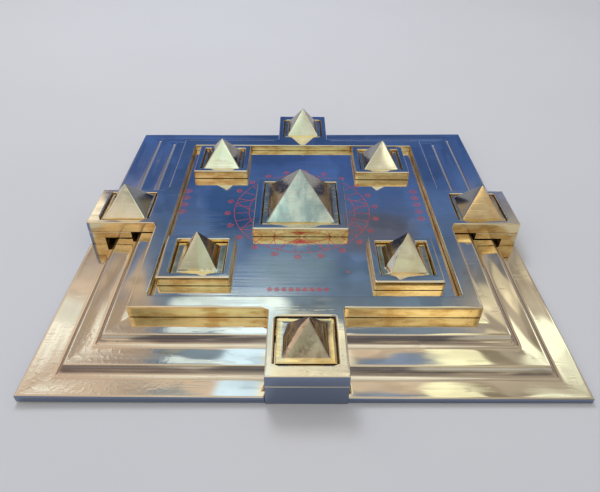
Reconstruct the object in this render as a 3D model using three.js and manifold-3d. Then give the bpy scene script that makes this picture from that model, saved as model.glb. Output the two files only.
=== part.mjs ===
// Vastu yantra plate: a stepped square brass base, a raised frame with four arms,
// an engraved plate let into the frame, and nine pyramids in square wells.
// Millimetres, +Z up, origin at the centre of the underside, front towards -Y.

import * as THREE from 'three';
import { mergeVertices } from 'three/addons/utils/BufferGeometryUtils.js';
import Module from 'manifold-3d';

const wasm = await Module();
wasm.setup();

// Driving dimensions of the base: each level by where its left, front, right and back edges lie.
// The steps are planed by hand, so they sit a little off the middle of the nine inch plate.
const rimEdges = [-115.8, -114.5, 115.8, 114.5];
const tierLips = [
  [-99.8, -101.5, 102.0, 100.2],
  [-86.8, -88.2, 88.6, 86.9],
];
const edgeThickness = 3.2;
const tierRise = 4.0;
const coveRun = 4.6;             // how far a cove reaches out from its lip
const coveSteps = 8;

// Raised frame and its arms
const fitGap = 0.3;              // clearance between pieces that sit on or in each other
const frameTop = 17.5;
const frameHalf = 78.1;
const recessHalf = 70.5;
const armHalf = 16.2;
const armReach = 115.0;
const wellHalf = 13.0;
const armWellCentre = 96.2;
const armFillet = 1.6;
const frontArmRight = 17.1;      // the front arm is a little wider on its right
const wellCornerRadius = 0.8;
const edgeBevel = 0.35;

// Engraved plate and the collars on it
const plateTop = 13.9;
const collarHeight = 5.2;
const smallCollar = { outerHalf: 16.2, innerHalf: 12.8 };
const cornerCollars = {
  front_left: { ...smallCollar, left: 18.2 },    // one wall is thicker
  front_right: { ...smallCollar, front: 17.6 },  // and so is one of this collar's
  back_left: smallCollar,
  back_right: smallCollar,
};
const centreCollar = { outerHalf: 25.0, innerHalf: 20.8 };

// Square flanges that the pyramids rise from
const smallFlangeHalf = 12.2;
const centreFlangeHalf = 20.2;

// Each pyramid is filed by hand, so no two are quite alike.
// drop is how far its flange lies below the rim of its well, tip the half width of its blunt tip.
const armPyramids = {
  front: { footHalf: 9.3, height: 13.8, tipHalf: 1.3, drop: 0.3 },
  right: { footHalf: 10.5, height: 14.4, tipHalf: 0.5, drop: 0.5 },
  back: { footHalf: 10.2, height: 14.9, tipHalf: 0.5, drop: 0.5 },
  left: { footHalf: 11.0, height: 14.6, tipHalf: 0.5, drop: 0.5 },
};
const cornerPyramids = {
  front_left: { footHalf: 9.2, height: 16.6, tipHalf: 0.5, drop: 2.1 },
  front_right: { footHalf: 9.8, height: 16.8, tipHalf: 0.5, drop: 1.7 },
  back_left: { footHalf: 10.8, height: 14.7, tipHalf: 0.5, drop: 1.2 },
  back_right: { footHalf: 10.2, height: 14.1, tipHalf: 0.5, drop: 1.2 },
};
const centrePyramid = { footHalf: 18.0, height: 21.4, tipHalf: 0.5, drop: 0.5 };

// Brackets under the arms
const barInnerEnd = 92.5;
const legDepth = 8.0;

// Levels that follow
const lowLevel = edgeThickness;
const middleLevel = lowLevel + tierRise;
const highLevel = middleLevel + tierRise;
const frameUnderside = highLevel + fitGap;
const collarTop = plateTop + collarHeight;

// Where each collar stands on the engraved plate: set by eye, so a little off the square
const cornerPlaces = {
  front_left: [-50.8, -44.6],
  front_right: [48.2, -45.8],
  back_left: [-49.8, 50.8],
  back_right: [47.8, 50.0],
};
const centrePlace = [-1.8, 1.8];

// The four arms: the quarter turn that takes the front arm to each, and how far its right side reaches
const arms = {
  front: { turn: 0, right: frontArmRight, rightFillet: 0.5 },
  right: { turn: 1, right: armHalf, rightFillet: armFillet },
  back: { turn: 2, right: armHalf, rightFillet: armFillet },
  left: { turn: 3, right: armHalf, rightFillet: armFillet },
};

function brass(colour, roughness) {
  return new THREE.MeshStandardMaterial({ color: colour, roughness, metalness: 1 });
}

function named(name, geometry, material) {
  const mesh = new THREE.Mesh(geometry, material);
  mesh.name = name;
  return mesh;
}

// A square-cornered turning: each profile point is [half width, height]
function squareTurning(profile) {
  const points = profile.map(([half, z]) => new THREE.Vector2(half * Math.SQRT2, z));
  const turned = new THREE.LatheGeometry(points, 4, Math.PI / 4);
  turned.rotateX(Math.PI / 2);
  return turned;
}

function asSolid(geometry) {
  const plain = geometry.clone();
  plain.deleteAttribute('normal');
  plain.deleteAttribute('uv');
  const merged = mergeVertices(plain, 1e-4);
  return new wasm.Manifold(new wasm.Mesh({
    numProp: 3,
    vertProperties: new Float32Array(merged.attributes.position.array),
    triVerts: new Uint32Array(merged.index.array),
  }));
}

function asGeometry(solid) {
  const mesh = solid.getMesh();
  const geometry = new THREE.BufferGeometry();
  geometry.setAttribute('position', new THREE.BufferAttribute(new Float32Array(mesh.vertProperties), 3));
  geometry.setIndex(new THREE.BufferAttribute(new Uint32Array(mesh.triVerts), 1));
  geometry.computeVertexNormals();
  return geometry;
}

function box(low, high) {
  const size = high.map((value, axis) => value - low[axis]);
  const geometry = new THREE.BoxGeometry(...size);
  geometry.translate(...high.map((value, axis) => (value + low[axis]) / 2));
  return geometry;
}

// Solid between rectangular rings, given as { edges, out, z }: edges moved outwards by out, at height z
function steppedSolid(rings) {
  const corners = rings.flatMap(({ edges: [left, front, right, back], out, z }) => [
    [left - out, front - out, z],
    [right + out, front - out, z],
    [right + out, back + out, z],
    [left - out, back + out, z],
  ]);
  const triangles = [[0, 2, 1], [0, 3, 2]];
  for (let low = 0; low < corners.length - 4; low += 4) {
    for (let side = 0; side < 4; side += 1) {
      const next = (side + 1) % 4;
      triangles.push([low + side, low + next, low + 4 + next], [low + side, low + 4 + next, low + 4 + side]);
    }
  }
  const top = corners.length - 4;
  triangles.push([top, top + 1, top + 2], [top, top + 2, top + 3]);
  const geometry = new THREE.BufferGeometry();
  geometry.setAttribute('position', new THREE.BufferAttribute(new Float32Array(corners.flat()), 3));
  geometry.setIndex(triangles.flat());
  return geometry;
}

// Concave cove from its foot up to the lip, as rings
function cove(edges, footLevel) {
  const sweep = 2 * Math.atan(tierRise / coveRun);
  const radius = coveRun / Math.sin(sweep);
  return Array.from({ length: coveSteps + 1 }, (_, step) => {
    const angle = (sweep * step) / coveSteps;
    return { edges, out: coveRun - radius * Math.sin(angle), z: footLevel + radius * (1 - Math.cos(angle)) };
  });
}

function basePlate() {
  let base = asSolid(steppedSolid([
    { edges: rimEdges, out: -edgeBevel, z: 0 },
    { edges: rimEdges, out: 0, z: edgeBevel },
    { edges: rimEdges, out: 0, z: lowLevel - edgeBevel },
    { edges: rimEdges, out: -edgeBevel, z: lowLevel },
    ...cove(tierLips[0], lowLevel),
    ...cove(tierLips[1], middleLevel),
  ]));
  // A notch in the middle of each edge lets a bracket's leg down to the table
  const notchEnd = armReach - legDepth - fitGap;
  for (const { turn, right } of Object.values(arms)) {
    const notch = box([-armHalf - fitGap, -armReach - 2, -1], [right + fitGap, -notchEnd, lowLevel + 1]);
    notch.rotateZ((turn * Math.PI) / 2);
    base = base.subtract(asSolid(notch));
  }
  return asGeometry(base);
}

// Points along an arc, both ends included
function arc(x, y, radius, from, to, steps = 3) {
  return Array.from({ length: steps + 1 }, (_, step) => {
    const angle = from + ((to - from) * step) / steps;
    return new THREE.Vector2(x + radius * Math.cos(angle), y + radius * Math.sin(angle));
  });
}

// Square hole with rounded corners, centred on x, y
function squareHole(x, y, half) {
  const reach = half - wellCornerRadius;
  const corner = (turn) => {
    const from = (turn * Math.PI) / 2;
    const middle = from + Math.PI / 4;
    const [cx, cy] = [x + Math.sign(Math.cos(middle)) * reach, y + Math.sign(Math.sin(middle)) * reach];
    return arc(cx, cy, wellCornerRadius, from, from + Math.PI / 2);
  };
  return new THREE.Path([0, 1, 2, 3].flatMap(corner));
}

// Flat slab between two levels, its edges eased by a small bevel
function slab(shape, bottom, top) {
  const geometry = new THREE.ExtrudeGeometry(shape, {
    depth: top - bottom - 2 * edgeBevel,
    bevelEnabled: true,
    bevelSegments: 1,
    bevelThickness: edgeBevel,
    bevelSize: edgeBevel,
    bevelOffset: -edgeBevel,
  });
  geometry.translate(0, 0, bottom + edgeBevel);
  return geometry;
}

function raisedFrame() {
  const origin = new THREE.Vector2();
  const turned = (point, turn) => point.clone().rotateAround(origin, (turn * Math.PI) / 2);
  // One side of the outline, from the frame's corner round its arm
  const side = ({ turn, right, rightFillet }) => [
    new THREE.Vector2(-frameHalf, -frameHalf),
    ...arc(-armHalf - armFillet, -frameHalf - armFillet, armFillet, Math.PI / 2, 0),
    new THREE.Vector2(-armHalf, -armReach),
    new THREE.Vector2(right, -armReach),
    ...arc(right + rightFillet, -frameHalf - rightFillet, rightFillet, Math.PI, Math.PI / 2),
  ].map((point) => turned(point, turn));
  const outline = new THREE.Shape(Object.values(arms).flatMap(side));
  outline.holes.push(squareHole(0, 0, recessHalf));
  for (const { turn } of Object.values(arms)) {
    const well = turned(new THREE.Vector2(0, -armWellCentre), turn);
    outline.holes.push(squareHole(well.x, well.y, wellHalf));
  }
  return slab(outline, frameUnderside, frameTop);
}

function squareShape(half) {
  const signs = [[-1, -1], [1, -1], [1, 1], [-1, 1]];
  return new THREE.Shape(signs.map(([x, y]) => new THREE.Vector2(x * half, y * half)));
}

function engravedPlate() {
  return slab(squareShape(recessHalf - fitGap), highLevel + fitGap, plateTop);
}

// left and front are the distances of those two outer faces from the middle of the opening
function collar({ outerHalf, innerHalf, left = outerHalf, front = outerHalf }) {
  const corners = [[-left, -front], [outerHalf, -front], [outerHalf, outerHalf], [-left, outerHalf]];
  const outline = new THREE.Shape(corners.map(([x, y]) => new THREE.Vector2(x, y)));
  outline.holes.push(squareHole(0, 0, innerHalf, wellCornerRadius));
  return slab(outline, plateTop + fitGap, collarTop);
}

// Flange and pyramid in one solid, from the floor of its well to the tip
function pyramid({ footHalf, height, tipHalf, drop }, flangeHalf, floor, rim) {
  const flangeTop = rim - drop;
  return squareTurning([
    [0, floor + fitGap],
    [flangeHalf, floor + fitGap],
    [flangeHalf, flangeTop - edgeBevel],
    [flangeHalf - edgeBevel, flangeTop],
    [footHalf, flangeTop],
    [tipHalf, flangeTop + height],
    [0, flangeTop + height],
  ]);
}

// Bracket under the front arm: a bar on the middle level and a leg to the table
function bracket(right) {
  const profile = new THREE.Shape([
    [-armReach, 0],
    [-armReach + legDepth, 0],
    [-armReach + legDepth, middleLevel + fitGap],
    [-barInnerEnd, middleLevel + fitGap],
    [-barInnerEnd, highLevel],
    [-armReach, highLevel],
  ].map((corner) => new THREE.Vector2(...corner)));
  const geometry = new THREE.ExtrudeGeometry(profile, { depth: armHalf + right, bevelEnabled: false });
  geometry.translate(0, 0, -armHalf);
  // Profile x runs along Y, profile y along Z, depth along X
  geometry.rotateX(Math.PI / 2);
  geometry.rotateZ(Math.PI / 2);
  return geometry;
}

const plate = new THREE.Group();
const polished = brass(0xe6d08a, 0.12);
const mirror = brass(0xded3a4, 0.06);
const castBrass = brass(0xdcc48a, 0.22);

plate.add(named('base_plate', basePlate(), castBrass.clone()));
plate.add(named('raised_frame', raisedFrame(), polished.clone()));
plate.add(named('engraved_plate', engravedPlate(), mirror.clone()));

for (const [side, { turn, right }] of Object.entries(arms)) {
  const arm = new THREE.Group();
  arm.rotation.z = (turn * Math.PI) / 2;
  arm.add(named(`bracket_${side}`, bracket(right), castBrass.clone()));
  const form = pyramid(armPyramids[side], smallFlangeHalf, highLevel, frameTop);
  const insert = named(`pyramid_${side}`, form, polished.clone());
  insert.position.set(0, -armWellCentre, 0);
  arm.add(insert);
  plate.add(arm);
}

for (const [corner, [x, y]] of Object.entries(cornerPlaces)) {
  const stand = new THREE.Group();
  stand.position.set(x, y, 0);
  stand.add(named(`socket_${corner}`, collar(cornerCollars[corner]), polished.clone()));
  const form = pyramid(cornerPyramids[corner], smallFlangeHalf, plateTop, collarTop);
  stand.add(named(`pyramid_${corner}`, form, polished.clone()));
  plate.add(stand);
}

const centre = new THREE.Group();
centre.position.set(...centrePlace, 0);
centre.add(named('centre_socket', collar(centreCollar), polished.clone()));
const centreForm = pyramid(centrePyramid, centreFlangeHalf, plateTop, collarTop);
centre.add(named('pyramid_centre', centreForm, polished.clone()));
plate.add(centre);

export default plate;
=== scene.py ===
import math

import bmesh
import bpy
from mathutils import Matrix, Vector, geometry, noise


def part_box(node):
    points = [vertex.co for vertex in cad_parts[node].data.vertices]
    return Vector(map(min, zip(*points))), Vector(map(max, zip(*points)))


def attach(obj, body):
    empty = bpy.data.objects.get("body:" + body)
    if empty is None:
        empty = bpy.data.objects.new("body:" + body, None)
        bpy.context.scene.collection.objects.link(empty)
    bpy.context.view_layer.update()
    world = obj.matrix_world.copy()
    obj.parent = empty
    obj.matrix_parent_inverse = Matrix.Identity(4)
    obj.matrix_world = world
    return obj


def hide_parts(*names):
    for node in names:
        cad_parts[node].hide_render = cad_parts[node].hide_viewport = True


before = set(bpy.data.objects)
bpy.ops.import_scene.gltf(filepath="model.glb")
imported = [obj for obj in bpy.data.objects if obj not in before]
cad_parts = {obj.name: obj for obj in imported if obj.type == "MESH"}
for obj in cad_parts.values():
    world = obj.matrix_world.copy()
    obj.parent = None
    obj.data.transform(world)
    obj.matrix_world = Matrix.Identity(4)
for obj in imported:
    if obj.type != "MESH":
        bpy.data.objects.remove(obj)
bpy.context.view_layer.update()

mm = 0.001
scene = bpy.context.scene
print("frame loaded:", len(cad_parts), "nodes")


def addObject(name, data):
    made = bpy.data.objects.new(name, data)
    scene.collection.objects.link(made)
    return made


# camera

camera = {
    "place": (-3.715, -238.261, 179.927),  # mm
    "yaw": -0.444,  # degrees, positive turns the view to the left
    "pitch": -38.675,  # degrees above the horizon
    "roll": -0.466,
    "lens": 520.388 / 600 * 36,  # mm on a 36 mm wide sensor
}


def setCamera(look):
    data = bpy.data.cameras.new("camera")
    data.lens = look["lens"]
    data.sensor_width = 36
    data.clip_start = 0.01
    data.clip_end = 50
    viewer = addObject("camera", data)
    turn = (Matrix.Rotation(math.radians(look["yaw"]), 4, "Z")
            @ Matrix.Rotation(math.radians(look["pitch"]), 4, "X")
            @ Matrix.Rotation(math.radians(look["roll"]), 4, "Y")
            @ Matrix.Rotation(math.radians(90), 4, "X"))
    viewer.matrix_world = Matrix.Translation(Vector(look["place"]) * mm) @ turn
    scene.camera = viewer


setCamera(camera)
print("camera set")


# node helpers: the owner is a node tree or a socket in it, and an input takes a link or a value

def addNode(owner, kind, inputs=None, **settings):
    tree = owner.id_data
    node = tree.nodes.new("ShaderNode" + kind)
    for key, value in settings.items():
        setattr(node, key, value)
    for key, value in (inputs or {}).items():
        if isinstance(value, bpy.types.NodeSocket):
            tree.links.new(value, node.inputs[key])
        else:
            node.inputs[key].default_value = value
    return node


def link(value, node, name):
    value.id_data.links.new(value, node.inputs[name])


def newMaterial(name):
    material = bpy.data.materials.new(name)
    material.use_nodes = True
    tree = material.node_tree
    return material, tree.nodes["Principled BSDF"], addNode(tree, "TexCoord")


def calc(operation, first, second=0.0, clamp=False):
    return addNode(first, "Math", {0: first, 1: second}, operation=operation, use_clamp=clamp).outputs[0]


def times(first, second):
    return calc("MULTIPLY", first, second)


def remap(value, low, high, outLow=0.0, outHigh=1.0, smooth=True):
    kind = "SMOOTHSTEP" if smooth else "LINEAR"
    inputs = {"Value": value, "From Min": low, "From Max": high, "To Min": outLow, "To Max": outHigh}
    return addNode(value, "MapRange", inputs, interpolation_type=kind).outputs["Result"]


def noiseOf(vector, scale, detail=2.0, rough=0.5):
    inputs = {"Vector": vector, "Scale": scale, "Detail": detail, "Roughness": rough}
    return addNode(vector, "TexNoise", inputs).outputs["Fac"]


def stretched(vector, scale, place=(0, 0, 0), turn=0.0):
    inputs = {"Vector": vector, "Scale": scale, "Location": place, "Rotation": (0, 0, math.radians(turn))}
    return addNode(vector, "Mapping", inputs).outputs[0]


def streaked(vector, stretch, detail=3.0, rough=0.5, place=(0, 0, 0)):
    # noise drawn out along the axes
    return noiseOf(stretched(vector, stretch, place), 1.0, detail, rough)


def partsOf(vector):
    return addNode(vector, "SeparateXYZ", {0: vector}).outputs


def blendColour(share, *colours):
    first, second = (c if isinstance(c, bpy.types.NodeSocket) else (*c, 1) for c in colours)
    return addNode(share, "Mix", {0: share, 6: first, 7: second}, data_type="RGBA").outputs[2]


def rampOf(value, stops):
    node = addNode(value, "ValToRGB", {0: value})
    points = node.color_ramp.elements
    while len(points) < len(stops):
        points.new(0.5)
    for point, (place, colour) in zip(points, stops):
        point.position = place
        point.color = (*colour, 1)
    return node.outputs[0]


# brass

# what every finish shares
brassWear = {
    "outer": (0.23, 0.28, 0.39),  # painted reflection: a cold blue on the outer walls to the front and to the left, standing in for cold surroundings mirrored in them
    "outerReflectionRange": (0.1128, 0.1138),  # metres
    # painted reflection and shade: the flanges in the pyramid wells take a deep gold
    "flange": (0.98, 0.8, 0.42),
    "flangeDeep": (0.86, 0.6, 0.24),
    "wallSize": 75.0,  # light and dark patches on a wall, per metre
    "wallRange": (0.4, 0.66),
    "scratches": ((23, 260, 16), (-51, 210, 22)),  # direction in degrees, per metre across and along
    "pit": (0.16, 0.11, 0.07),
    "pitSize": 330.0,
    "pitDepth": 6.0,  # times the depth of a dent
    "dent": 0.00001,  # metres
    "hammerSize": 520.0,
    "hammerDepth": 3.0,
    "wallRough": (0.12, 0.36),  # walls to the front, walls to the side
    "frontRange": (0.03, 0.0),  # metres, where the look of the back gives way to that of the front
    "stainRough": 0.08, "hairRough": 0.15,
    "stainCover": 0.75, "pitCover": 0.8,
}

castBrass = {
    **brassWear,
    "bright": (0.9, 0.81, 0.62), "deep": (0.84, 0.74, 0.56),
    "tarnish": (0.6, 0.5, 0.42),
    "tarnishShare": 0.35,  # how much of the metal the brown bloom covers
    "tarnishSize": 34.0,  # blotches per metre
    "wallShading": (0.36, 0.3, 0.25),  # grime where the wheel doesn't reach, and painted shade in the coves
    "wallShadingDeep": (0.2, 0.17, 0.17),
    "wallShadingRange": (0.95, 0.74),
    "rough": (0.035, 0.17),
    "streaks": (9.0, 420.0, 0.00001),  # per metre along a band and across it, metres deep
    "grain": 0.0000006,  # metres
    "brushedSize": 22.0,  # patches where the marks show, per metre
    "brushedFrom": 0.5,
    "hairs": 0.6, "pits": 0.1,  # strength of the scratches, share of the cells with a pit
    "followBands": True,
    "wallMarks": (26, 260, 260),  # per metre along a cove and across it
    "wallRange": (0.38, 0.62),
    "wipedMarks": (14, 90, 90),  # patches of the coves where the grime and the painted shade are lifted
    "wipedRange": (0.46, 0.58),
    # how much grime and painted shade stays in the wiped patches
    "grimeAndShadeLeft": 0.15,
    "wornAt": ((-0.093, -0.112, 0.004), 0.05),  # a rubbed patch: its middle and reach, metres
    "hammered": 0.5,
    "flankShading": (0.38, 0.25, 0.14),  # painted shade and reflection on coves facing left and right: brown in front, cold blue behind
    "flankShadingBehind": (0.2, 0.24, 0.32),
    "flankShadingRange": (0.3, 0.46),
    "sidesMetal": 0.45,
}

polishedBrass = {
    **brassWear,
    "bright": (0.91, 0.82, 0.62), "deep": (0.87, 0.76, 0.54),
    "tarnish": (0.66, 0.55, 0.42), "tarnishShare": 0.12, "tarnishSize": 60.0,
    # painted reflection: the steep walls get a deeper gold than the tops, for the brass they mirror
    "wallShading": (0.88, 0.74, 0.43), "wallShadingDeep": (0.62, 0.42, 0.18),
    "wallShadingRange": (0.55, 0.2),
    "rough": (0.035, 0.14),
    "streaks": (26.0, 420.0, 0.000004),
    "grain": 0.0000004,
    "brushedSize": 30.0, "brushedFrom": 0.52,
    "hairs": 0.5, "pits": 0.14,
    "followBands": False,
    "wornAt": ((0.006, -0.112, 0.0175), 0.02),
    "hammered": 0.4,
}

mirrorBrass = {
    **polishedBrass,
    "bright": (0.9, 0.83, 0.68), "deep": (0.87, 0.79, 0.62),
    "tarnish": (0.8, 0.8, 0.74), "tarnishShare": 0.15, "tarnishSize": 45.0,
    "rough": (0.03, 0.16),
    "streaks": (22.0, 1100.0, 0.0000042),
    "grain": 0.0000003,
    "brushedSize": 26.0, "brushedFrom": 0.48,
    "hairs": 0.35, "pits": 0.05,
    "wornAt": ((-0.012, -0.052, 0.014), 0.034),
    "hammered": 0.0,
}

filedBrass = {
    **polishedBrass,
    "bright": (0.94, 0.94, 0.76), "deep": (0.89, 0.88, 0.66),
    "tarnish": (0.62, 0.62, 0.44), "tarnishShare": 0.16, "tarnishSize": 130.0,
    # painted reflection: the steep walls get a deeper gold than the tops, for the brass they mirror
    "wallShading": (0.95, 0.68, 0.3), "wallShadingDeep": (0.8, 0.48, 0.18),
    "wallShadingRange": (0.22, 0.08),
    "rough": (0.09, 0.24),
    "streaks": (90.0, 900.0, 0.000003),
    "brushedSize": 110.0, "brushedFrom": 0.42,
    "pits": 0.08,
    "wornAt": None,
    "flankShading": (0.36, 0.32, 0.28),  # painted reflection: the flanks get a dull grey, standing in for dark surroundings mirrored in them
    "flankShadingRange": (0.55, 0.68),
    "marked": True,  # the mesh says where the flange and the brushed facets are
}

brownBrass = {
    **filedBrass,
    "bright": (0.8, 0.68, 0.5), "deep": (0.56, 0.45, 0.33),
    "tarnish": (0.22, 0.17, 0.14), "tarnishShare": 0.75, "tarnishSize": 170.0,
}

warmBrass = {
    **filedBrass,
    "bright": (0.9, 0.8, 0.62), "deep": (0.84, 0.72, 0.52),
}

peachBrass = {
    **filedBrass,
    "bright": (0.92, 0.74, 0.42), "deep": (0.84, 0.62, 0.33),
    "tarnish": (0.5, 0.38, 0.2), "tarnishShare": 0.35,
}

coolBrass = {
    **filedBrass,
    "bright": (0.74, 0.83, 0.75), "deep": (0.44, 0.56, 0.55),
    "tarnish": (0.3, 0.42, 0.46), "tarnishShare": 0.45, "tarnishSize": 90.0,
    "brushedFrom": 0.36,
    "rough": (0.09, 0.3),
}


def bandVector(place):
    # x runs along the nearest side of the square, y across its bands
    x, y, z = partsOf(place)
    turned = calc("GREATER_THAN", calc("ABSOLUTE", x), calc("ABSOLUTE", y))
    swapped = addNode(place, "CombineXYZ", {0: y, 1: x, 2: z}).outputs[0]
    return addNode(place, "Mix", {0: turned, 4: place, 5: swapped}, data_type="VECTOR").outputs[1]


def hairlines(place, turn, fine, long):
    # the thin edges of very long cells, broken up by noise
    inputs = {"Vector": stretched(place, (long, fine, fine), turn=turn), "Scale": 1.0}
    cells = addNode(place, "TexVoronoi", inputs, feature="DISTANCE_TO_EDGE").outputs[0]
    broken = remap(noiseOf(place, 70.0, 3.0), 0.54, 0.66)
    return times(remap(cells, 0.035, 0.0), broken)


def nearness(place, centre, reach):
    # 1 at the centre, falling to 0 at reach
    away = addNode(place, "VectorMath", {0: place, 1: centre}, operation="DISTANCE").outputs["Value"]
    return remap(away, reach, reach * 0.3)


def pitsOf(place, size, share):
    # small casting holes in the given share of the cells
    cells = addNode(place, "TexVoronoi", {"Vector": place, "Scale": size})
    chosen = addNode(place, "SeparateColor", {0: cells.outputs["Color"]}).outputs[0]
    hole = remap(cells.outputs["Distance"], 0.085, 0.03)
    return times(hole, calc("LESS_THAN", chosen, share))


def markOf(owner, name):
    # a number that the mesh carries on its points
    return addNode(owner, "Attribute", attribute_name=name).outputs["Fac"]


def brass(name, look, seed=0.0):
    material, shader, texture = newMaterial(name)
    shader.inputs["Metallic"].default_value = 1.0
    whole = texture.outputs["Object"]
    place = stretched(whole, (1, 1, 1), (seed, seed * 0.7, 0))
    run = bandVector(whole) if look["followBands"] else place
    x, y, _ = partsOf(whole)
    sideways, _, up = partsOf(texture.outputs["Normal"])
    sideways = calc("ABSOLUTE", sideways)

    # walls: painted shade and painted reflection on the steep faces, with grime in the coves of the cast
    # finish
    # the steeper a face, the more painted wall shading it takes
    wallShading = remap(calc("ABSOLUTE", up), *look["wallShadingRange"])
    outwards = times(calc("MINIMUM", x, y), -1.0)
    # painted reflection: where the cold blue goes on the outer walls to the front and the left
    outer = times(wallShading, remap(outwards, *look["outerReflectionRange"]))
    inFront = remap(y, *look["frontRange"])
    kept = 1.0  # where the painted wall and flank shading may go
    if look["followBands"]:
        patches = streaked(run, look["wallMarks"])
        wiped = streaked(run, look["wipedMarks"], place=(4, 1, 2))
        wiped = remap(wiped, *look["wipedRange"])
        wallShading = times(wallShading, remap(wiped, 0, 1, 1.0, look["grimeAndShadeLeft"]))
        # the lips in front are kept clear of the painted wall and flank shading
        kept = remap(times(markOf(whole, "lip"), inFront), 0.1, 0.7, 1.0, 0.0)
        wallShading = times(wallShading, kept)
    else:
        patches = noiseOf(stretched(place, (1, 1, 3)), look["wallSize"], 4.0, 0.6)
    wallTone = remap(patches, *look["wallRange"])

    # tarnish, polishing marks, scratches and pits
    share = look["tarnishShare"] * 0.3
    stain = noiseOf(place, look["tarnishSize"], 5.0, 0.6)
    stain = remap(stain, 0.72 - share, 0.9 - share)
    along, fine, streakDepth = look["streaks"]
    tone = streaked(run, (along * 2, fine * 0.15, 60))
    streak = streaked(run, (along, fine, fine), 4.0, 0.6)
    grain = streaked(run, (along * 4, fine * 3, fine * 3), 2.0)
    hairs = calc("MAXIMUM", *(hairlines(place, *kind) for kind in look["scratches"]))
    hairs = times(hairs, look["hairs"])
    brushed = noiseOf(place, look["brushedSize"], 2.0)
    brushed = remap(brushed, look["brushedFrom"], look["brushedFrom"] + 0.16)
    if look["wornAt"]:
        worn = nearness(whole, *look["wornAt"])
        brushed = calc("MAXIMUM", brushed, worn)
        stain = calc("MAXIMUM", stain, times(worn, 0.35))
    if "marked" in look:
        rubbed = markOf(whole, "rubbed")
        brushed = calc("MAXIMUM", brushed, rubbed)
        kept = calc("GREATER_THAN", rubbed, -0.5)
    pit = pitsOf(place, look["pitSize"], look["pits"])

    # colour
    colour = blendColour(remap(tone, 0.35, 0.65), look["bright"], look["deep"])
    colour = blendColour(times(stain, look["stainCover"]), colour, look["tarnish"])
    # painted wall shading: shade and grime in the cast coves, a deeper gold of mirrored brass on the other
    # finishes
    wall = blendColour(wallTone, look["wallShading"], look["wallShadingDeep"])
    colour = blendColour(wallShading, colour, wall)
    # painted shade and reflection on faces turned to the left and to the right
    if "flankShading" in look:
        flank = times(remap(sideways, *look["flankShadingRange"]), kept)
        flankShading = look["flankShading"]
        if look["followBands"]:
            flankShading = blendColour(inFront, look["flankShadingBehind"], flankShading)
            # the front flanks are made less metallic, so that their painted brown reads dull
            metal = remap(times(flank, inFront), 0, 1, 1.0, look["sidesMetal"])
            link(metal, shader, "Metallic")
        colour = blendColour(flank, colour, flankShading)
    # painted reflection on the outer walls
    colour = blendColour(outer, colour, look["outer"])
    # painted reflection and shade: deep gold on the flanges round the pyramids
    if "marked" in look:
        flange = blendColour(wallTone, look["flange"], look["flangeDeep"])
        colour = blendColour(markOf(whole, "flange"), colour, flange)
    colour = blendColour(times(pit, look["pitCover"]), colour, look["pit"])
    link(colour, shader, "Base Color")

    # roughness
    amount = times(remap(streak, 0.3, 0.7), remap(brushed, 0, 1, 0.12, 1.0))
    rough = remap(amount, 0, 1, *look["rough"], smooth=False)
    rough = calc("ADD", rough, times(stain, look["stainRough"]))
    rough = calc("ADD", rough, times(hairs, look["hairRough"]))
    wallRough = times(wallShading, remap(sideways, 0, 1, *look["wallRough"]))
    rough = calc("ADD", rough, wallRough, clamp=True)
    link(rough, shader, "Roughness")

    # relief
    marks = times(streak, remap(brushed, 0, 1, 0.2, 1.0))
    dent = calc("ADD", times(pit, -look["pitDepth"]), times(hairs, -1.0))
    if look["wornAt"]:
        hammered = noiseOf(place, look["hammerSize"], 2.0)
        hammered = remap(hammered, 0.45, 0.7, 0.0, look["hammerDepth"])
        dent = calc("ADD", dent, times(hammered, times(worn, look["hammered"])))
    below = {}
    for height, depth in ((marks, streakDepth), (grain, look["grain"]), (dent, look["dent"])):
        bump = addNode(height, "Bump", {"Height": height, "Distance": depth, "Strength": 1.0, **below})
        below = {"Normal": bump.outputs[0]}
    link(bump.outputs[0], shader, "Normal")
    return material


finishes = {"cast": (castBrass, 0.0), "polished": (polishedBrass, 0.3), "mirror": (mirrorBrass, 0.6),
            "filed": (filedBrass, 0.9), "brown": (brownBrass, 1.1), "warm": (warmBrass, 1.2),
            "peach": (peachBrass, 1.4), "cool": (coolBrass, 1.7)}
materials = {name: brass(name + "Brass", *finish) for name, finish in finishes.items()}
print("materials made")


# mesh helpers

def addPiece(name, points, faces, material, node, crease):
    mesh = bpy.data.meshes.new(name)
    mesh.from_pydata([tuple(p) for p in points], [], faces)
    shape = bmesh.new()
    shape.from_mesh(mesh)
    bmesh.ops.recalc_face_normals(shape, faces=shape.faces)
    shape.to_mesh(mesh)
    shape.free()
    mesh.polygons.foreach_set("use_smooth", [True] * len(mesh.polygons))
    mesh.set_sharp_from_angle(angle=math.radians(crease))
    mesh.materials.append(material)
    piece = addObject(name, mesh)
    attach(piece, "root")
    if node:
        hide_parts(node)
    return piece


def joined(lower, upper):
    # faces between two rings of point numbers
    count = len(lower)
    return [(lower[k], lower[(k + 1) % count], upper[(k + 1) % count], upper[k]) for k in range(count)]


def middleOf(node):
    low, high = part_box(node)
    return (low.x + high.x) / 2, (low.y + high.y) / 2


def around(centre, half):
    # left, front, right and back edge of a square
    return centre[0] - half, centre[1] - half, centre[0] + half, centre[1] + half


quarterTurns = ((1, 0), (0, 1), (-1, 0), (0, -1))  # cosine and sine


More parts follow.
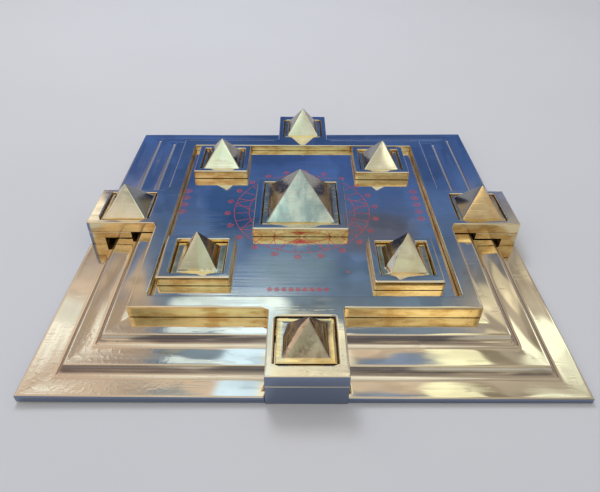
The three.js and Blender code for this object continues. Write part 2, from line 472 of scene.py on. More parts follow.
def ringPoints(edges, corner, perSide, cornerSteps):
    # anticlockwise from the front left corner: (x, y, side, share), share runs from -1 to 1 along a side
    left, front, right, back = edges
    middle = ((left + right) / 2, (front + back) / 2)
    halves = ((right - left) / 2, (back - front) / 2)
    corner = min(corner, min(halves) * 0.45)
    ring = []
    for side, (cosine, sine) in enumerate(quarterTurns):
        along, out = halves[side % 2], halves[1 - side % 2]
        straight = along - corner
        local = [(-straight + 2 * straight * k / perSide, -out) for k in range(perSide + 1)]
        for k in range(1, cornerSteps):
            angle = math.pi / 2 * k / cornerSteps
            local.append((straight + corner * math.sin(angle), -out + corner * (1 - math.cos(angle))))
        for a, b in local:
            ring.append((middle[0] + cosine * a - sine * b, middle[1] + sine * a + cosine * b,
                         side, max(-1.0, min(1.0, a / along))))
    return ring


def squareTurning(profile, perSide, corner, lift, closed=False, cornerSteps=3):
    # rows of (edges, z) joined into a skin, as points and faces; lift gives each point its extra height
    points, faces = [], []
    for row, (edges, z) in enumerate(profile):
        for x, y, side, share in ringPoints(edges, corner, perSide, cornerSteps):
            points.append(Vector((x, y, z + lift(x, y, z, side, share, row))))
    size = 4 * (perSide + cornerSteps)
    rows = len(profile)
    rings = [range(row * size, (row + 1) * size) for row in range(rows)]
    for row in range(rows if closed else rows - 1):
        faces += joined(rings[row], rings[(row + 1) % rows])
    if not closed:
        faces += [tuple(rings[0])[::-1], tuple(rings[-1])]
    return points, faces


def polar(centre, radius, angle):
    return centre[0] + radius * math.cos(angle), centre[1] + radius * math.sin(angle)


def arc(centre, radius, start, end, steps):
    # points (a, z) on an arc, angles in degrees from +a towards +z
    return [polar(centre, radius, math.radians(start + (end - start) * k / steps)) for k in range(steps + 1)]


def softEdge(out, top, wide, deep, steps):
    # a rounded edge that reaches in by wide and down by deep
    angles = [math.pi / 2 * k / steps for k in range(steps + 1)]
    return [(out - wide * (1 - math.cos(angle)), top - deep * (1 - math.sin(angle))) for angle in angles]


def spread(start, end, steps):
    # points between two profile places, ends left out
    return [between(start, end, k / steps) for k in range(1, steps)]


def between(first, second, share):
    return tuple(a + (b - a) * share for a, b in zip(first, second))


def swell(part, parts):
    # how far a wall bellies out: nothing in its lower half, then up to 1
    return max(0.0, 2 * part / parts - 1) ** 2


def ripple(x, y, sizeX, sizeY, seed):
    return noise.noise(Vector((x / sizeX, y / sizeY, seed)))


# base plate

basePlate = {
    # mm, each lip: left, front, right, back
    "tiers": ((-99.8, -101.5, 102.0, 100.2), (-86.8, -88.2, 88.6, 86.9)),
    "edge": 3.2,  # thickness at the rim
    "tierRise": 4.0,
    "coveRun": 4.6,
    "footRound": 0.3,
    "rimRound": 0.45,
    "lipRound": 0.3,
    "frameHalf": 77.6,  # just under the raised frame
    "innerHalf": 60.0,  # the hidden middle is one flat face
    "dish": (0.05, 0.075, 0.06),  # how hollow each band is polished, from the rim inwards
    "mitre": 0.25,  # corner rounding
    "longWave": 0.16,  # hand polishing
    "longSize": (0.046, 0.017),  # metres along a band and across it
    "shortWave": 0.015,
    "shortSize": (0.013, 0.005),
    "thick": 1.2,  # the casting is thicker at two of its corners
    "thin": 0.45,
    "twistOver": (0.078, 0.115),  # metres from the middle
    "lifted": 0.6,  # and those two corners stand off the table
    "liftedOver": (0.1, 0.115),
    "cornerArea": 0.0133,  # x times y at a corner, square metres
    "notch": 0.08,  # room round each bracket leg
    "legDepth": 8.0,
    "cutTo": 0.118,  # metres, clear of the casting
    "cutHeights": (-0.002, 0.01),
}


def grown(edges, out):
    return edges[0] - out, edges[1] - out, edges[2] + out, edges[3] + out


def hollowBand(start, end, level, dish):
    shares = [k / 12 for k in range(1, 12)]
    return [(between(start, end, share), level - 4 * dish * share * (1 - share)) for share in shares]


def baseProfile(look, rimEdges):
    edge, rise, run = look["edge"], look["tierRise"], look["coveRun"]
    rim, lipRound = look["rimRound"], look["lipRound"]
    foot = look["footRound"]
    rows = [(around((0, 0), look["innerHalf"]), 0.0), (grown(rimEdges, -12), 0.0)]
    outline = arc((-foot, foot), foot, -90, 0, 3) + spread((0.0, foot), (0.0, edge - rim), 3)
    outline += arc((-rim, edge - rim), rim, 0, 90, 4)
    rows += [(grown(rimEdges, out), z) for out, z in outline]
    lips = set(range(len(rows) - 5, len(rows)))
    level, before = edge, grown(rimEdges, -rim)
    sweep = 2 * math.atan(rise / run)
    radius = run / math.sin(sweep)
    for lip, dish in zip(look["tiers"], look["dish"]):
        foot = grown(lip, run)
        rows += hollowBand(before, foot, level, dish)
        for k in range(14):
            angle = sweep * k / 14
            rows.append((grown(lip, run - radius * math.sin(angle)), level + radius * (1 - math.cos(angle))))
        level += rise
        out, drop = lipRound * math.cos(sweep), lipRound * math.sin(sweep)
        for share in (0.0, 0.25, 0.5, 0.75, 1.0):
            low, mid, full = (1 - share) ** 2, 2 * share * (1 - share), share ** 2
            rows.append((grown(lip, low * out - full * lipRound), level - low * drop))
        lips.update(range(len(rows) - 5, len(rows)))
        before = grown(lip, -lipRound)
    top = around((0, 0), look["frameHalf"])
    rows += hollowBand(before, top, level, look["dish"][-1])
    rows += [(top, level), (around((0, 0), look["innerHalf"]), level)]
    return [(tuple(v * mm for v in edges), z * mm) for edges, z in rows], lips


def rising(value, start, end):
    # from 0 at start to 1 at end
    share = max(0.0, min(1.0, (value - start) / (end - start)))
    return share * share * (3 - 2 * share)


def addMarks(piece, name, values):
    # one number per point, for the material to read
    piece.data.attributes.new(name, "FLOAT", "POINT").data.foreach_set("value", values)


def makeBase(look):
    low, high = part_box("base_plate")
    rimEdges = tuple(v / mm for v in (*low.xy, *high.xy))
    profile, lipRows = baseProfile(look, rimEdges)
    lips = []

    def handWork(x, y, z, side, share, row):
        lips.append(1.0 if row in lipRows else 0.0)
        far = max(abs(x), abs(y))
        corner = x * y / look["cornerArea"]
        if z < 0.5 * mm:
            weight = rising(far, *look["liftedOver"])
            return look["lifted"] * mm * max(0.0, corner) ** 2 * weight
        weight = rising(far, *look["twistOver"])
        thickness = look["thick"] if corner > 0 else look["thin"]
        twist = corner * weight * thickness * mm * min(1.0, z / (look["edge"] * mm))
        if far < 0.0775 or z < 2.5 * mm:
            return twist
        along = share * 0.1
        near = rising((1 - abs(share)) * 0.11, 0, 0.012)  # no waves at the mitres
        long = ripple(along, far, *look["longSize"], side * 3.7 + 0.4) * look["longWave"] * mm
        short = ripple(along, far, *look["shortSize"], side * 5.1 + 9.3) * look["shortWave"] * mm
        free = rising(far, 0.0777, 0.0817)  # or under the frame
        return twist + ((long + short) * near - look["longWave"] * mm * 0.55) * free

    points, faces = squareTurning(profile, 120, look["mitre"] * mm, handWork)
    base = addPiece("steppedBase", points, faces, materials["cast"], "base_plate", 40)
    addMarks(base, "lip", lips)
    cutNotches(base, look)


def cutNotches(base, look):
    # each mid side is cut away for the leg of a bracket
    room = look["notch"] * mm
    cutters = []
    for node, axis, sign in (("bracket_front", 1, -1), ("bracket_right", 0, 1),
                             ("bracket_back", 1, 1), ("bracket_left", 0, -1)):
        low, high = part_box(node)
        inner = sign * (max(abs(low[axis]), abs(high[axis])) - look["legDepth"] * mm) - sign * room
        start, end = low.copy(), high.copy()
        start[1 - axis] -= room
        end[1 - axis] += room
        start[axis], end[axis] = sorted((inner, sign * look["cutTo"]))
        start.z, end.z = look["cutHeights"]
        shape = bmesh.new()
        bmesh.ops.create_cube(shape, size=1.0)
        for vert in shape.verts:
            vert.co = Vector([start[k] if vert.co[k] < 0 else end[k] for k in range(3)])
        mesh = bpy.data.meshes.new("notchCutter")
        shape.to_mesh(mesh)
        shape.free()
        cutters.append(addObject("notchCutter", mesh))
        cut = base.modifiers.new("notch", "BOOLEAN")
        cut.object, cut.operation, cut.solver = cutters[-1], "DIFFERENCE", "EXACT"
    bakeModifiers(base)
    for cutter in cutters:
        bpy.data.objects.remove(cutter)


def bakeModifiers(piece):
    bpy.context.view_layer.update()
    final = bpy.data.meshes.new_from_object(piece.evaluated_get(bpy.context.evaluated_depsgraph_get()))
    old = piece.data
    piece.modifiers.clear()
    piece.data = final
    final.name = old.name
    bpy.data.meshes.remove(old)


makeBase(basePlate)
print("base plate made")


# raised frame

raisedFrame = {
    "half": 78.1,  # mm, the square without its arms
    "recessHalf": 70.5,
    "armHalf": 16.2,
    "wellHalf": 13.0,
    "wellCentre": 96.2,
    "armFillet": 1.6,
    "frontArmRight": 17.1,  # the front arm is wider on its right
    "frontFillet": 0.5,
    "wellCorner": 0.9,
    "outerCorner": 0.45,
    "topRound": 0.34,
    "topSoft": 0.6,
    "belly": 0.1,  # the walls are a little round
    "rim": 0.3,
    "grid": 2.4,  # mesh step
    "clear": 1.2,  # room between the mesh grid and an edge
    "longWave": 0.07, "longSize": 44,
    "shortWave": 0.012, "shortSize": 11,
}


def frameLoops(look, reach):
    # corners as (x, y, radius, turn): turn is 1 where the metal ends, -1 at an inner corner
    side, arm, small = look["half"], look["armHalf"], look["outerCorner"]
    outline = []
    for turn, (cosine, sine) in enumerate(quarterTurns):
        right = look["frontArmRight"] if turn == 0 else arm
        fillet = look["frontFillet"] if turn == 0 else look["armFillet"]
        quarter = [(-side, -side, small, 1), (-arm, -side, look["armFillet"], -1), (-arm, -reach, small, 1),
                   (right, -reach, small, 1), (right, -side, fillet, -1)]
        outline += [(x * cosine - y * sine, x * sine + y * cosine, r, t) for x, y, r, t in quarter]
    loops = [outline, squareHole(0, 0, look["recessHalf"], 0.5)]
    for x, y in ((0, -1), (1, 0), (0, 1), (-1, 0)):
        away = look["wellCentre"]
        loops.append(squareHole(x * away, y * away, look["wellHalf"], look["wellCorner"]))
    return loops


def squareHole(x, y, half, radius):
    # clockwise, so that the metal lies to the left
    return [(x + a * half, y + b * half, radius, -1) for a, b in ((-1, -1), (-1, 1), (1, 1), (1, -1))]


def tracedLoop(corners, inset, step):
    # the loop moved into the metal by inset, with the same number of points for any inset
    spots = [Vector(corner[:2]) for corner in corners]
    moved = []
    for k, (_, _, radius, turn) in enumerate(corners):
        into = (spots[k] - spots[k - 1]).normalized()
        out = (spots[(k + 1) % len(spots)] - spots[k]).normalized()
        shift = Vector((-into.y, into.x)) + Vector((-out.y, out.x))
        moved.append((spots[k] + shift * inset, into, out, radius - turn * inset))
    points = []
    for k, (here, into, out, radius) in enumerate(moved):
        middle = here - into * radius + out * radius
        for part in range(5):
            angle = math.pi / 2 * part / 4
            points.append(middle - out * radius * math.cos(angle) + into * radius * math.sin(angle))
        n = (k + 1) % len(spots)
        start, end = here + out * radius, moved[n][0] - moved[n][1] * moved[n][3]
        parts = max(2, round((spots[n] - spots[k]).length / step))
        points += [start.lerp(end, part / parts) for part in range(1, parts)]
    return points


def insideMetal(look, reach, x, y, margin):
    far, near = max(abs(x), abs(y)), min(abs(x), abs(y))
    body = far < look["half"] - margin or (near < look["armHalf"] - margin and far < reach - margin)
    body = body or (-reach + margin < y < 0 and 0 < x < look["frontArmRight"] - margin)
    wellHalf = look["wellHalf"] + margin
    well = near < wellHalf and abs(far - look["wellCentre"]) < wellHalf
    return body and not well and far >= look["recessHalf"] + margin


def makeFrame(look):
    low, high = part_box("raised_frame")
    reach, bottom, top = high.x / mm, low.z / mm, high.z / mm
    loops = frameLoops(look, reach)
    bend, belly = look["topRound"], look["belly"]
    rows = [(belly * swell(part, 6), bottom + (top - bend - bottom) * part / 6) for part in range(6)]
    rows += [(-out, z) for out, z in softEdge(-belly, top, look["topSoft"], bend, 5)]
    rows.append((belly + look["topSoft"] + look["rim"], top))

    def waved(spot, z):
        x, y = spot
        share = (z - bottom) / (top - bottom)
        long = ripple(x, y, look["longSize"], look["longSize"], 2.2) * look["longWave"]
        short = ripple(x, y, look["shortSize"], look["shortSize"], 7.9) * look["shortWave"]
        return Vector((x, y, z + (long + short - look["longWave"] * 0.8) * share)) * mm

    points, faces, rims = [], [], []
    for loop in loops:
        rings = []
        for inset, z in rows:
            ring = []
            for spot in tracedLoop(loop, inset, look["grid"]):
                ring.append(len(points))
                points.append(waved(spot, z))
            rings.append(ring)
        for lower, upper in zip(rings, rings[1:]):
            faces += joined(lower, upper)
        rims.append((rings[0], rings[-1]))

    for end, z in ((0, bottom), (1, top)):
        flat, edges, source = [], [], []
        for rim in rims:
            ring = rim[end]
            first = len(flat)
            flat += [points[k].xy / mm for k in ring]
            source += ring
            edges += [(first + k, first + (k + 1) % len(ring)) for k in range(len(ring))]
        step = look["grid"]
        most = int(reach / step) + 1
        for i in range(-most, most + 1):
            for j in range(-most, most + 1):
                x, y = (i + 0.5 * (j % 2)) * step, j * step * 0.9
                if insideMetal(look, reach, x, y, look["clear"]):
                    flat.append(Vector((x, y)))
                    source.append(None)
        found, _, triangles, origins, _, _ = geometry.delaunay_2d_cdt(flat, edges, [], 0, 1e-5)
        place = []
        for k, spot in enumerate(found):
            known = source[origins[k][0]] if origins[k] else None
            if known is None:
                known = len(points)
                points.append(waved(spot, z))
            place.append(known)
        for triangle in triangles:
            centre = sum((found[k] for k in triangle), Vector((0, 0))) / 3
            if insideMetal(look, reach, centre.x, centre.y, 0.01):
                faces.append(tuple(place[k] for k in triangle))
    addPiece("crossArmedFrame", points, faces, materials["polished"], "raised_frame", 40)


makeFrame(raisedFrame)
print("raised frame made")


# engraved plate

mirrorPlate = {"round": 0.04, "wave": 0.014, "waveSize": 26.0}


def plateHeight(x, y):
    # metres in, metres out
    size = mirrorPlate["waveSize"] * mm
    return (ripple(x, y, size, size, 3.3) - 0.8) * mirrorPlate["wave"] * mm


def makePlate(look):
    low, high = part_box("engraved_plate")
    half, bottom, top, bend = high.x, low.z, high.z, look["round"] * mm
    profile = [(0.03, bottom), (half, bottom)]
    profile += arc((half - bend, top - bend), bend, 0, 90, 3)
    profile += [(half * (1 - k / 40), top) for k in range(1, 40)]
    profile = [(around((0, 0), out), z) for out, z in profile]

    def lift(x, y, z, side, share, row):
        return plateHeight(x, y) if z > top - bend else 0.0

    points, faces = squareTurning(profile, 40, 0.1 * mm, lift)
    addPiece("mirrorPlate", points, faces, materials["mirror"], "engraved_plate", 40)


makePlate(mirrorPlate)
print("mirror plate made")


# brackets under the arms

bracketShape = {"legDepth": 8.0, "barFrom": 7.5, "round": 0.3}


def makeBracket(name, node, quarter, look):
    turn = Matrix.Rotation(quarter * math.pi / 2, 3, "Z")
    corners = [turn.transposed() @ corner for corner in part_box(node)]
    left, right = sorted(corner.x for corner in corners)
    reach, inner = (-v for v in sorted(corner.y for corner in corners))
    leg, bar, top = look["legDepth"] * mm, look["barFrom"] * mm, corners[1].z
    outline = [(reach, 0.0), (reach, top), (inner, top), (inner, bar), (reach - leg, bar), (reach - leg, 0.0)]
    slices = 12
    points = []
    for k in range(slices + 1):
        across = left + (right - left) * k / slices
        points += [Vector((across, -out, z)) for out, z in outline]
    size = len(outline)
    rings = [range(k * size, (k + 1) * size) for k in range(slices + 1)]
    faces = [tuple(rings[0]), tuple(rings[-1])[::-1]]
    for lower, upper in zip(rings, rings[1:]):
        faces += joined(lower, upper)
    piece = addPiece(name, [turn @ p for p in points], faces, materials["polished"], node, 35)
    soft = piece.modifiers.new("softEdges", "BEVEL")
    soft.width = look["round"] * mm
    soft.segments = 3
    soft.limit_method = "ANGLE"
    soft.harden_normals = True
    bakeModifiers(piece)


armNames = ("front", "right", "back", "left")
for quarter, armName in enumerate(armNames):
    makeBracket(armName + "Bracket", "bracket_" + armName, quarter, bracketShape)
print("brackets made")


# square collars on the plate

collarShape = {
    "opening": {"small": 12.8, "centre": 20.8},  # mm, half its width
    "round": 0.42,
    "soft": (0.5, 0.95, 0.5, 0.5),  # how far the top is worn in: left, front, right, back
    "corner": 0.5,
    "wave": 0.05,
    "belly": 0.12,
}


def makeCollar(name, node, kind, pyramid, look):
    low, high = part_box(node)
    outer = (*low.xy, *high.xy)
    inner = around(middleOf(pyramid), look["opening"][kind] * mm)
    bend, bottom, top = look["round"] * mm, low.z, high.z
    belly = look["belly"] * mm
    profile = [(grown(outer, -belly * swell(part, 6)), bottom + (top - bend - bottom) * part / 6)
               for part in range(6)]
    for worn, z in softEdge(0.0, top, 1.0, bend, 5):
        profile.append((tuple(v + sign * (belly - worn * wide * mm)
                              for v, sign, wide in zip(outer, (1, 1, -1, -1), look["soft"])), z))
    edge, rim = profile[-1][0], grown(inner, bend)
    profile += [(between(edge, rim, part / 5), top) for part in range(1, 5)]
    profile += [(grown(inner, out), z) for out, z in arc((bend, top - bend), bend, 90, 180, 4)]
    profile += [(inner, bottom + (top - bottom) * 0.4), (inner, bottom)]

    def lift(x, y, z, side, share, row):
        height = (z - bottom) / (top - bottom)
        return (ripple(x, y, 0.012, 0.012, 6.1) - 0.8) * look["wave"] * mm * height

    points, faces = squareTurning(profile, 26, look["corner"] * mm, lift, closed=True)
    addPiece(name, points, faces, materials["polished"], node, 40)


cornerNames = ("front_left", "front_right", "back_left", "back_right")
makeCollar("centreCollar", "centre_socket", "centre", "pyramid_centre", collarShape)
for cornerName in cornerNames:
    makeCollar(cornerName + "_collar", "socket_" + cornerName, "small", "pyramid_" + cornerName, collarShape)
print("collars made")


# pyramids, each one filed by hand
# facets: (direction in degrees from +x, slope in degrees, distance at which it meets the foot,
#          finish: 1 brushed, 0 plain, -1 bright)

plainPyramid = {
    "tip": 0.35,  # mm, half side of the blunt tip
    "lean": (0.0, 0.0),  # how far the tip stands off the middle
    "crown": 0.1,  # how full the faces are
    "facets": [],
    "metal": "filed",
    "edge": 0.12,
    "row": 0.36,  # mesh step
    "flangeRound": 0.3,
    "flangeWave": (0.06, 0.007),  # mm high, metres long
    "faceWave": (0.035, 0.008),
}

pyramids = {
    "front": {**plainPyramid, "foot": 9.3, "height": 13.8, "tip": 0.8, "lean": (0.5, 0.3), "crown": 0.3,
              "facets": [(228, 46.2, 12.4, 0), (165, 54.0, 9.2, 0)], "metal": "brown"},
    "right": {**plainPyramid, "foot": 10.5, "height": 14.4, "lean": (-0.3, 0.0), "metal": "peach"},
    "back": {**plainPyramid, "foot": 10.2, "height": 14.9, "lean": (0.2, 0.2), "crown": 0.15},
    "left": {**plainPyramid, "foot": 11.0, "height": 14.6, "lean": (0.4, 0.0), "crown": 0.05},
    "front_left": {**plainPyramid, "foot": 9.2, "height": 16.6, "lean": (0.5, 0.0), "crown": 0.15,
                   "facets": [(277, 61.1, 9.25, 1)]},
    "front_right": {**plainPyramid, "foot": 9.8, "height": 16.8, "lean": (-0.2, 0.0), "crown": 0.15,
                    "facets": [(200, 58, 11.0, -1)], "metal": "warm"},
    "back_left": {**plainPyramid, "foot": 10.8, "height": 14.7, "lean": (0.3, 0.0)},
    "back_right": {**plainPyramid, "foot": 10.2, "height": 14.1, "lean": (0.5, 0.0)},
    "centre": {**plainPyramid, "foot": 18.0, "height": 21.4, "tip": 0.3, "lean": (-0.3, 0.0),
               "metal": "cool"},
}


def makePyramid(key, look, seed):
    low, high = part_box("pyramid_" + key)
    centre = middleOf("pyramid_" + key)
    flange = (high.x - low.x) / 2
    bottom, apex = low.z, high.z
    foot, height, tip = look["foot"] * mm, look["height"] * mm, look["tip"] * mm
    level = apex - height
    bend = look["flangeRound"] * mm
    profile = [(flange, bottom), (flange, (bottom + level) / 2)]
    profile += arc((flange - bend, level - bend), bend, 0, 90, 3)
    profile += spread((flange - bend, level), (foot, level), 4)
    steps = round((foot - tip) / (look["row"] * mm))
    for k in range(steps + 1):
        out = foot + (tip - foot) * k / steps
        profile.append((out, level + height * (foot - out) / foot))
    profile.append((tip * 0.5, level + height - height * tip * 0.55 / foot))

    flanges, rubbed = [], []

    def lift(x, y, z, side, share, row):
        out = profile[row][0]
        onFlange = out > foot * 1.0001
        flanges.append(float(onFlange))
        rubbed.append(0.0)
        if onFlange:
            deep, size = look["flangeWave"]
            return (ripple(x, y, size, size, seed) - 0.7) * deep * mm * (row > 5)
        climb = 1 - out / foot
        rise = look["crown"] * mm * 4 * climb * (1 - climb) * (1 - share ** 2)
        deep, size = look["faceWave"]
        rise += ripple(x, y, size, size, seed + 4) * deep * mm * min(1.0, climb * 6)
        right, ahead = x - centre[0], y - centre[1]
        for direction, tilt, meets, finish in look["facets"]:
            angle = math.radians(direction)
            reach = right * math.cos(angle) + ahead * math.sin(angle)
            plane = level + math.tan(math.radians(tilt)) * (meets * mm - reach)
            if plane - z < rise:
                rise = plane - z
                rubbed[-1] = finish
        return max(rise, level - z)

    rings = [(around(centre, out), z) for out, z in profile]
    points, faces = squareTurning(rings, 30, look["edge"] * mm, lift, cornerSteps=2)
    lean = Vector((*look["lean"], 0)) * mm
    for point in points:
        point += lean * max(0.0, (point.z - level) / height)
        point.z = min(point.z, apex)
    piece = addPiece(key + "_pyramid", points, faces, materials[look["metal"]],
                     "pyramid_" + key, 20)
    addMarks(piece, "flange", flanges)
    addMarks(piece, "rubbed", rubbed)


for seed, (key, look) in enumerate(pyramids.items()):
    makePyramid(key, look, seed * 1.7)
print("pyramids made")


# red filled engraving: the common circles, spokes and crossed triangles, with plain ornaments round them

engraving = {
    "centre": (-1.0, 1.6),  # mm, on the plate
    "line": 0.34,  # width of a cut line
    "stand": 0.03,  # how far the filling stands over the metal
    "step": 0.0004,  # each line a hair higher, for clean crossings
    "sunk": 0.04,
    "outer": 37.6,
    "inner": 29.4,
    "spokes": 32,
    "points": 9,  # crossed triangles
    "pointsTurn": 0.17,  # radians
    "marksAt": 41.2,
    "marks": 22,
    "markSize": 3.6,
    "markLine": 0.42,
    "rows": [((-67.4, 20.5), (-67.4, -0.5), 4, 4.6), ((64.4, 20.5), (64.4, -6.5), 5, 4.4),
             ((-16.2, -63.0), (10.0, -63.0), 9, 2.5)],  # from, to, how many, size
    "triangle": [(-2.1, -24.9), (-8.0, -28.4), (4.5, -28.4)],
    "dot": ((20.9, -50.7), 0.7),
    "colour": (0.5, 0.045, 0.075),
    "wornColour": (0.62, 0.1, 0.09),
}


def redFilling(look):
    material, shader, texture = newMaterial("redFilling")
    place = texture.outputs["Object"]
    worn = remap(noiseOf(place, 380.0, 4.0), 0.36, 0.66)
    colour = blendColour(worn, look["colour"], look["wornColour"])
    link(colour, shader, "Base Color")
    link(remap(noiseOf(place, 900.0), 0.3, 0.7, 0.35, 0.6), shader, "Roughness")
    return material


def ribbon(points, faces, path, width, closed, heights):
    # a flat bead of filling along a path of (x, y) in mm, between two heights
    count = len(path)
    spots = [Vector(p) for p in path]
    first = len(points)
    for k, here in enumerate(spots):
        before = spots[k - 1] if closed or k else here
        after = spots[(k + 1) % count] if closed or k < count - 1 else here
        into = here - before if before != here else after - here
        out = after - here if after != here else into
        a, b = into.normalized(), out.normalized()
        normal = Vector((-a.y - b.y, a.x + b.x))
        if normal.length < 1e-4:
            normal = Vector((-a.y, a.x))
        normal.normalize()
        stretch = 1 / max(0.45, normal.dot(Vector((-a.y, a.x))))
        for side, up in ((1, 0), (1, 1), (-1, 1), (-1, 0)):
            spot = here + normal * side * width / 2 * stretch * (0.8 if up else 1.0)
            x, y = spot.x * mm, spot.y * mm
            points.append(Vector((x, y, plateTop + plateHeight(x, y) + heights[up] * mm)))
    for k in range(count if closed else count - 1):
        here, there = first + 4 * k, first + 4 * ((k + 1) % count)
        for j in range(4):
            n = (j + 1) % 4
            faces.append((here + j, there + j, there + n, here + n))
    if not closed:
        faces.append((first + 3, first + 2, first + 1, first))
        last = first + 4 * (count - 1)
        faces.append((last, last + 1, last + 2, last + 3))


def circle(centre, radius, steps):
    return [polar(centre, radius, 2 * math.pi * k / steps) for k in range(steps)]


def ornament(kind):
    # small plain motifs in a square of side 1, each a closed path
    lozenge = [(-0.5, 0), (0, -0.5), (0.5, 0), (0, 0.5)]
    if kind == 0:
        return [lozenge, circle((0, 0), 0.12, 8)]
    return [circle((0, 0), 0.42, 16), [(a * 0.4, b * 0.4) for a, b in lozenge]]


def placed(kind, x, y, size, turn):
    cosine, sine = math.cos(turn), math.sin(turn)
    for path in ornament(kind):
        yield [(x + size * (a * cosine - b * sine), y + size * (a * sine + b * cosine)) for a, b in path]


def makeEngraving(look):
    points, faces = [], []
    centre = look["centre"]
    order = 0

    def draw(path, closed, width=look["line"]):
        nonlocal order
        order += 1
        stand = look["stand"] + look["step"] * (order % 40)
        ribbon(points, faces, path, width, closed, (-look["sunk"], stand))

    draw(circle(centre, look["outer"], 120), True)
    draw(circle(centre, look["inner"], 96), True)
    for k in range(look["spokes"]):
        angle = 2 * math.pi * (k + 0.5) / look["spokes"]
        draw([polar(centre, radius, angle) for radius in (look["inner"], look["outer"])], False)
    for k in range(look["points"]):
        start = 2 * math.pi * k / look["points"] + look["pointsTurn"]
        draw([polar(centre, look["outer"], start + third * 2 * math.pi / 3) for third in range(3)], True)
    for k in range(look["marks"]):
        angle = 2 * math.pi * (k + 0.3) / look["marks"]
        x, y = polar(centre, look["marksAt"], angle)
        for path in placed(k % 2, x, y, look["markSize"], angle - math.pi / 2):
            draw(path, True, look["markLine"])
    for start, end, count, size in look["rows"]:
        for k in range(count):
            for path in placed(0, *between(start, end, k / (count - 1)), size, 0.0):
                draw(path, True, look["markLine"])
    apex, left, right = (Vector(p) for p in look["triangle"])
    for share in (1.0, 0.55, 0.2):
        middle = (apex + left + right) / 3
        draw([tuple(middle.lerp(p, share)) for p in (apex, left, right)], True, 0.9 if share < 1 else 0.5)
    place, radius = look["dot"]
    draw(circle(place, radius * 0.5, 12), True, radius)
    addPiece("redEngraving", points, faces, redFilling(look), None, 30)


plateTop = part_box("engraved_plate")[1].z
makeEngraving(engraving)
print("engraving made")


# floor, light and surroundings

studio = {
    "floor": (0.74, 0.79, 0.87),
    "floorReach": 6.0,  # metres each way
    "lamp": 3.0,  # watts
    "lampPlace": (-0.2, 0.52, 0.88),
    "lampSize": 0.35,
}

# what the brass mirrors, by height above the horizon in degrees
studioAhead = ((0, (0.7, 0.76, 0.85)), (9, (0.46, 0.54, 0.68)), (12.5, (0.05, 0.11, 0.4)),
               (30, (0.06, 0.13, 0.42)), (42, (0.14, 0.23, 0.42)), (50, (0.25, 0.32, 0.42)),
               (52, (0.64, 0.54, 0.47)), (64, (0.68, 0.64, 0.6)), (76, (0.9, 0.9, 0.88)))
studioBehind = ((0, (0.66, 0.7, 0.76)), (9, (0.52, 0.52, 0.54)), (12, (0.34, 0.28, 0.23)),
                (14, (0.34, 0.28, 0.23)), (18, (0.54, 0.58, 0.48)), (30, (0.68, 0.8, 0.76)),
                (70, (0.9, 0.9, 0.88)))
# panels: turn from straight ahead (positive to the right), rise, how soft the edge is, colour
studioPanels = (
    # a warm wall on the left and a brown one on the right, with dark feet
    ((-176, -24), (14, 70), 5, (0.8, 0.67, 0.59)),
    ((25, 176), (18, 70), 4, (0.47, 0.43, 0.39)),
    ((-120, -26), (11.5, 22), 1.5, (0.26, 0.18, 0.12)),
    ((26, 120), (11.5, 22), 1.5, (0.17, 0.12, 0.09)),
    # the far wall, low down
    ((-12, -3), (31.5, 36.5), 1.0, (0.04, 0.1, 0.3)),
    ((5, 16), (34.5, 39), 1.5, (0.11, 0.13, 0.22)),
    ((-6, 5), (39.5, 42.5), 1.2, (0.22, 0.34, 0.46)),
    # window
    ((-19, -10), (42.9, 46.0), 0.6, (0.9, 1.14, 1.38)),
    ((-12, -1.5), (44, 47), 0.8, (0.9, 1.14, 1.38)),
    ((-12.5, -1.5), (45.5, 57), 2.4, (0.72, 1.02, 1.42)),
    ((-23, -11.5), (46.4, 51.2), 0.9, (0.21, 0.3, 0.44)),
    ((-5, 10), (47, 58), 1.2, (1.08, 1.08, 0.96)),
    ((11, 21), (47.8, 51), 1.0, (0.24, 0.33, 0.56)),
    # lamps on the right
    ((22.5, 31), (45.5, 55), 0.9, (1.2, 1.25, 0.98)),
    ((34.5, 43), (38, 47.5), 1.0, (1.15, 1.25, 1.12)),
    ((26.5, 31.5), (37, 42.5), 0.8, (0.96, 0.9, 0.74)),
    # light and shade on the left
    ((-38.5, -28.5), (39.5, 45.8), 1.2, (1.1, 1.14, 1.16)),
    ((-28, -22), (43.0, 48.5), 1.2, (0.46, 0.38, 0.32)),
    ((-25.5, -21.5), (34, 43), 1.5, (0.56, 0.46, 0.4)),
    ((-30, -23.8), (29, 33.8), 0.6, (1.5, 1.42, 1.3)),
    # dark posts
    ((-20.5, -18), (46, 52), 0.7, (0.3, 0.34, 0.38)),
    ((31, 34), (44, 55), 0.7, (0.33, 0.3, 0.25)),
    # behind the camera
    ((150, 167), (38, 50), 2.0, (1.35, 1.25, 1.0)),
    ((-180, -163), (40, 50), 2.0, (0.9, 1.05, 0.98)),
    ((-162, -150), (38, 52), 2.0, (0.36, 0.38, 0.34)),
)


def makeFloor(look):
    mesh = bpy.data.meshes.new("studioFloor")
    reach, below = look["floorReach"], -0.0002
    corners = [(x * reach, y * reach, below) for x, y in ((-1, -1), (1, -1), (1, 1), (-1, 1))]
    mesh.from_pydata(corners, [], [(0, 1, 2, 3)])
    material, shader, texture = newMaterial("paleFloor")
    soft = noiseOf(texture.outputs["Object"], 9.0, 3.0)
    darker = tuple(v * 0.95 for v in look["floor"])
    link(blendColour(soft, look["floor"], darker), shader, "Base Color")
    shader.inputs["Roughness"].default_value = 0.75
    mesh.materials.append(material)
    addObject("studioFloor", mesh)


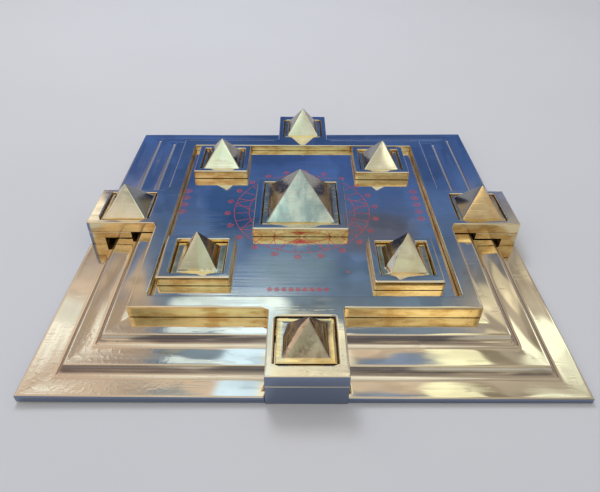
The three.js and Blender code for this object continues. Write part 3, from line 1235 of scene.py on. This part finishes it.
def makeWorld():
    world = bpy.data.worlds.new("studio")
    scene.world = world
    world.use_nodes = True
    tree = world.node_tree
    direction = addNode(tree, "TexCoord").outputs["Generated"]
    right, ahead, up = partsOf(direction)
    rise = calc("DEGREES", calc("ARCSINE", up))
    turn = calc("DEGREES", calc("ARCTAN2", right, ahead))
    share = remap(rise, 0, 90, smooth=False)
    far, near = (rampOf(share, [(height / 90, colour) for height, colour in ramp])
                 for ramp in (studioAhead, studioBehind))
    colour = blendColour(remap(ahead, 0.15, -0.15), far, near)
    for turns, rises, soft, panel in studioPanels:
        away = 0.0
        for value, (start, end) in ((turn, turns), (rise, rises)):
            off = calc("ABSOLUTE", calc("SUBTRACT", value, (start + end) / 2))
            part = calc("POWER", calc("DIVIDE", off, (end - start) / 2), 4.0)
            away = calc("ADD", part, away)
        blur = soft / min(turns[1] - turns[0], rises[1] - rises[0])
        inside = remap(calc("POWER", away, 0.25), 1 + blur, 1 - blur)
        colour = blendColour(inside, colour, panel)
    clouds = remap(noiseOf(direction, 6.0, 5.0, 0.6), 0.34, 0.66, 0.8, 1.18)
    trees = remap(streaked(direction, (9, 9, 16)), 0.53, 0.56, 1.0, 0.78)
    detail = calc("SUBTRACT", times(clouds, trees), 1.0)
    detail = calc("ADD", times(detail, remap(rise, 10, 16)), 1.0)
    scaled = addNode(tree, "VectorMath", {0: colour, "Scale": detail}, operation="SCALE")
    link(scaled.outputs["Vector"], tree.nodes["Background"], "Color")


def makeLamp(look):
    data = bpy.data.lights.new("softbox", "AREA")
    data.shape = "RECTANGLE"
    data.size = data.size_y = look["lampSize"]
    data.energy = look["lamp"]
    lamp = addObject("softbox", data)
    lamp.location = look["lampPlace"]
    lamp.rotation_mode = "QUATERNION"
    lamp.rotation_quaternion = (-Vector(lamp.location)).to_track_quat("-Z", "Y")
    lamp.visible_camera = False
    lamp.visible_glossy = False  # the panels stand for it in the metal


makeFloor(studio)
makeWorld()
makeLamp(studio)
scene.view_settings.view_transform = "Standard"
print("studio made")

bpy.context.view_layer.update()
